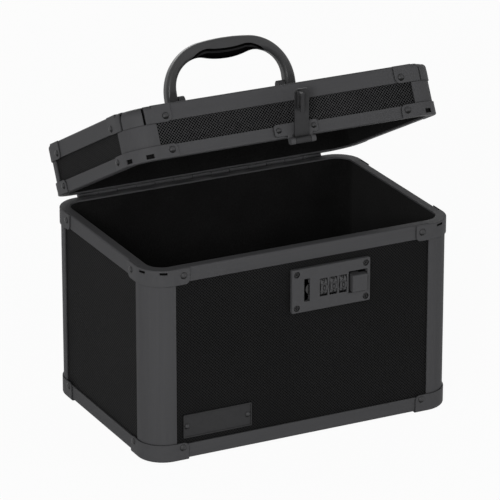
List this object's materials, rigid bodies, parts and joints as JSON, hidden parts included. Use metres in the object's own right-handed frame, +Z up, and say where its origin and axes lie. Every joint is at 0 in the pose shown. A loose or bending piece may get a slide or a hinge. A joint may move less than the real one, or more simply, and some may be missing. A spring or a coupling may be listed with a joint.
{
  "type": "combination lock cash box",
  "caption": "Upright black cash box with an aluminium frame, hinged lid, folding handle, swinging hasp and a number-dial lock with a sliding release button.",
  "frame": {"origin": "on the plane the box stands on, under the middle of the lower case", "axes": "+Z up, front with the lock towards -Y, +X to the right seen from the front"},
  "size_m": [0.2588, 0.1938, 0.2769],
  "materials": {
    "frame_metal": "satin black anodised",
    "cap_metal": "satin black",
    "board": "black with a fine pressed texture",
    "lining": "thin black felt",
    "rivets": "semi-gloss black",
    "grip": "moulded black plastic, slight sheen",
    "spring_steel": "bright steel",
    "dial_metal": "satin black with dark numbers",
    "hardware": "satin black"
  },
  "bodies": {
    "case": {"bolt_spring": "spring_steel", "case_base_caps": "cap_metal", "case_base_rail_front": "frame_metal", "case_base_rail_left": "frame_metal", "case_base_rail_rear": "frame_metal", "case_base_rail_right": "frame_metal", "case_floor_panel": "board", "case_front_panel": "board", "case_left_panel": "board", "case_lining": "lining", "case_post_front_left": "frame_metal", "case_post_front_right": "frame_metal", "case_post_rear_left": "frame_metal", "case_post_rear_right": "frame_metal", "case_rear_panel": "board", "case_right_panel": "board", "case_rim_caps": "cap_metal", "case_rim_rail_front": "frame_metal", "case_rim_rail_left": "frame_metal", "case_rim_rail_rear": "frame_metal", "case_rim_rail_right": "frame_metal", "case_rivets": "rivets", "dial_spindle": "spring_steel", "hinge_case_leaf": "hardware", "hinge_pin": "hardware", "lock_housing": "hardware", "lock_plate": "hardware", "lock_screws": "rivets", "name_plate": "hardware"},
    "lid": {"lid_front_panel": "board", "lid_left_panel": "board", "lid_lining": "lining", "lid_posts": "frame_metal", "lid_rear_panel": "board", "lid_right_panel": "board", "lid_rim_caps": "cap_metal", "lid_rim_rail_front": "frame_metal", "lid_rim_rail_left": "frame_metal", "lid_rim_rail_rear": "frame_metal", "lid_rim_rail_right": "frame_metal", "lid_rivets": "rivets", "lid_top_caps": "cap_metal", "lid_top_panel": "board", "lid_top_rail_front": "frame_metal", "lid_top_rail_left": "frame_metal", "lid_top_rail_rear": "frame_metal", "lid_top_rail_right": "frame_metal", "handle_feet": "hardware", "handle_pins": "hardware", "hasp_base": "hardware", "hasp_pin": "hardware", "hinge_lid_leaf": "hardware"},
    "handle": {"handle": "grip"},
    "hasp": {"hasp_plate": "hardware"},
    "dial_left": {"dial_left": "dial_metal"},
    "dial_middle": {"dial_middle": "dial_metal"},
    "dial_right": {"dial_right": "dial_metal"},
    "button": {"release_button": "hardware"},
    "bolt": {"lock_bolt": "hardware"}
  },
  "joints": [
    {"name": "lid_hinge", "type": "hinge", "parent": "case", "child": "lid", "pos_m": [0, 0.0887, 0.1522], "axis": [-1, 0, 0], "range_deg": [-27, 73]},
    {"name": "handle_pivot", "type": "hinge", "parent": "lid", "child": "handle", "pos_m": [-0.0022, 0.03178, 0.23586], "axis": [1, 0, 0], "range_deg": [-98, 82]},
    {"name": "hasp_hinge", "type": "hinge", "parent": "lid", "child": "hasp", "pos_m": [0.0056, -0.07064, 0.2298], "axis": [1, 0, 0], "range_deg": [-16, 153]},
    {"name": "dial_left_turn", "type": "hinge", "parent": "case", "child": "dial_left", "pos_m": [0.0153, -0.0793, 0.1178], "axis": [1, 0, 0], "continuous": true},
    {"name": "dial_middle_turn", "type": "hinge", "parent": "case", "child": "dial_middle", "pos_m": [0.0233, -0.0793, 0.1178], "axis": [1, 0, 0], "continuous": true},
    {"name": "dial_right_turn", "type": "hinge", "parent": "case", "child": "dial_right", "pos_m": [0.0313, -0.0793, 0.1178], "axis": [1, 0, 0], "continuous": true},
    {"name": "button_slide", "type": "slide", "parent": "case", "child": "button", "axis": [0, 0, 1], "range_m": [0, 0.0028], "stiffness_N_per_m": 400},
    {"name": "bolt_slide", "type": "slide", "parent": "case", "child": "bolt", "axis": [1, 0, 0], "range_m": [0, 0.0028], "deforming": ["bolt_spring"]}
  ],
  "couplings": [
    {"joint": "bolt_slide", "follows": "button_slide", "ratio": 1}
  ]
}
